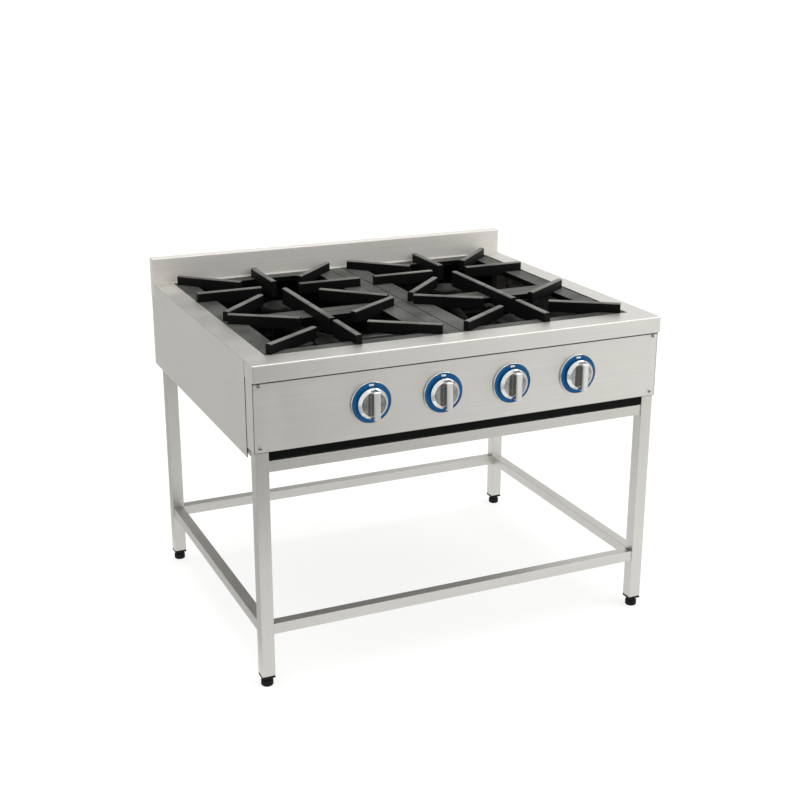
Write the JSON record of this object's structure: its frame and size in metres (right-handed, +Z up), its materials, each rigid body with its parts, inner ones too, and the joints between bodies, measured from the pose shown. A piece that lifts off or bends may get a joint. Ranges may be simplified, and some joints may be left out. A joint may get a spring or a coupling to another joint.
{
  "type": "commercial gas range",
  "caption": "Free-standing stainless gas range with open burners under cast-iron grates, a row of knobs, a drip tray, a splashback and a tubular stand on levelling feet.",
  "frame": {"origin": "on the floor, under the middle of the bounding box", "axes": "+X to the right as the cook sees it, +Y towards the splashback, +Z up"},
  "size_m": [1, 0.861, 0.815],
  "materials": {
    "stainless": "satin brushed stainless sheet and tube",
    "galvanised": "dull zinc-coated steel",
    "cast_iron": "matt black sand-cast iron, worn grey on the edges",
    "black_enamel": "gloss black stove enamel",
    "brass": "machined brass",
    "chrome": "satin chrome plate",
    "blue_plastic": "blue moulded ring, light gloss",
    "black_plastic": "matt black moulded plastic"
  },
  "bodies": {
    "chassis": {"worktop": "stainless", "splashback": "stainless", "side_panel_left": "stainless", "side_panel_right": "stainless", "control_panel": "stainless", "rear_panel": "galvanised", "leg_front_left": "stainless", "leg_plug_front_left": "black_plastic", "leg_front_right": "stainless", "leg_plug_front_right": "black_plastic", "leg_rear_left": "stainless", "leg_plug_rear_left": "black_plastic", "leg_rear_right": "stainless", "leg_plug_rear_right": "black_plastic", "lower_rail_front": "stainless", "lower_rail_rear": "stainless", "lower_rail_left": "stainless", "lower_rail_right": "stainless", "upper_rail_front": "stainless", "upper_rail_rear": "stainless", "upper_rail_left": "stainless", "upper_rail_right": "stainless", "tray_runner_left": "galvanised", "tray_runner_right": "galvanised", "grate_centre_bar": "cast_iron", "burner_front_left": "cast_iron", "burner_rear_left": "cast_iron", "burner_rear_right": "cast_iron", "burner_front_right": "cast_iron", "burner_rack": "black_enamel", "tap_body_1": "brass", "knob_bezel_1": "blue_plastic", "tap_body_2": "brass", "knob_bezel_2": "blue_plastic", "tap_body_3": "brass", "knob_bezel_3": "blue_plastic", "tap_body_4": "brass", "knob_bezel_4": "blue_plastic", "gas_manifold": "galvanised"},
    "grate_front_left": {"grate_front_left": "cast_iron"},
    "grate_front_right": {"grate_front_right": "cast_iron"},
    "grate_rear_left": {"grate_rear_left": "cast_iron"},
    "grate_rear_right": {"grate_rear_right": "cast_iron"},
    "burner_cap_front_left": {"burner_cap_front_left": "cast_iron"},
    "burner_cap_rear_left": {"burner_cap_rear_left": "cast_iron"},
    "burner_cap_rear_right": {"burner_cap_rear_right": "cast_iron"},
    "burner_cap_front_right": {"burner_cap_front_right": "cast_iron"},
    "drip_tray": {"drip_tray": "black_enamel"},
    "foot_front_left": {"foot_front_left": "black_plastic"},
    "foot_front_right": {"foot_front_right": "black_plastic"},
    "foot_rear_left": {"foot_rear_left": "black_plastic"},
    "foot_rear_right": {"foot_rear_right": "black_plastic"},
    "tap_spindle_1": {"tap_spindle_1": "brass"},
    "tap_spindle_2": {"tap_spindle_2": "brass"},
    "tap_spindle_3": {"tap_spindle_3": "brass"},
    "tap_spindle_4": {"tap_spindle_4": "brass"},
    "knob_1": {"knob_1": "chrome"},
    "knob_2": {"knob_2": "chrome"},
    "knob_3": {"knob_3": "chrome"},
    "knob_4": {"knob_4": "chrome"}
  },
  "joints": [
    {"name": "tap_1_turn", "type": "hinge", "parent": "chassis", "child": "tap_spindle_1", "pos_m": [-0.234, -0.38, 0.636], "axis": [0, -1, 0], "range_deg": [0, 180]},
    {"name": "knob_1_push", "type": "slide", "parent": "tap_spindle_1", "child": "knob_1", "axis": [0, 1, 0], "range_m": [0, 0.004], "stiffness_N_per_m": 800},
    {"name": "tap_2_turn", "type": "hinge", "parent": "chassis", "child": "tap_spindle_2", "pos_m": [-0.062, -0.38, 0.636], "axis": [0, -1, 0], "range_deg": [0, 180]},
    {"name": "knob_2_push", "type": "slide", "parent": "tap_spindle_2", "child": "knob_2", "axis": [0, 1, 0], "range_m": [0, 0.004], "stiffness_N_per_m": 800},
    {"name": "tap_3_turn", "type": "hinge", "parent": "chassis", "child": "tap_spindle_3", "pos_m": [0.11, -0.38, 0.636], "axis": [0, -1, 0], "range_deg": [0, 180]},
    {"name": "knob_3_push", "type": "slide", "parent": "tap_spindle_3", "child": "knob_3", "axis": [0, 1, 0], "range_m": [0, 0.004], "stiffness_N_per_m": 800},
    {"name": "tap_4_turn", "type": "hinge", "parent": "chassis", "child": "tap_spindle_4", "pos_m": [0.282, -0.38, 0.636], "axis": [0, -1, 0], "range_deg": [0, 180]},
    {"name": "knob_4_push", "type": "slide", "parent": "tap_spindle_4", "child": "knob_4", "axis": [0, 1, 0], "range_m": [0, 0.004], "stiffness_N_per_m": 800},
    {"name": "grate_front_left_lift", "type": "slide", "parent": "chassis", "child": "grate_front_left", "axis": [0, 0, 1], "range_m": [0, 0.15]},
    {"name": "grate_front_right_lift", "type": "slide", "parent": "chassis", "child": "grate_front_right", "axis": [0, 0, 1], "range_m": [0, 0.15]},
    {"name": "grate_rear_left_lift", "type": "slide", "parent": "chassis", "child": "grate_rear_left", "axis": [0, 0, 1], "range_m": [0, 0.15]},
    {"name": "grate_rear_right_lift", "type": "slide", "parent": "chassis", "child": "grate_rear_right", "axis": [0, 0, 1], "range_m": [0, 0.15]},
    {"name": "burner_cap_front_left_lift", "type": "slide", "parent": "chassis", "child": "burner_cap_front_left", "axis": [0, 0, 1], "range_m": [0, 0.008]},
    {"name": "burner_cap_rear_left_lift", "type": "slide", "parent": "chassis", "child": "burner_cap_rear_left", "axis": [0, 0, 1], "range_m": [0, 0.008]},
    {"name": "burner_cap_rear_right_lift", "type": "slide", "parent": "chassis", "child": "burner_cap_rear_right", "axis": [0, 0, 1], "range_m": [0, 0.008]},
    {"name": "burner_cap_front_right_lift", "type": "slide", "parent": "chassis", "child": "burner_cap_front_right", "axis": [0, 0, 1], "range_m": [0, 0.008]},
    {"name": "drip_tray_pull", "type": "slide", "parent": "chassis", "child": "drip_tray", "axis": [0, -1, 0], "range_m": [0, 0.55]},
    {"name": "foot_front_left_adjust", "type": "slide", "parent": "chassis", "child": "foot_front_left", "axis": [0, 0, -1], "range_m": [0, 0.02]},
    {"name": "foot_front_right_adjust", "type": "slide", "parent": "chassis", "child": "foot_front_right", "axis": [0, 0, -1], "range_m": [0, 0.02]},
    {"name": "foot_rear_left_adjust", "type": "slide", "parent": "chassis", "child": "foot_rear_left", "axis": [0, 0, -1], "range_m": [0, 0.02]},
    {"name": "foot_rear_right_adjust", "type": "slide", "parent": "chassis", "child": "foot_rear_right", "axis": [0, 0, -1], "range_m": [0, 0.02]}
  ]
}
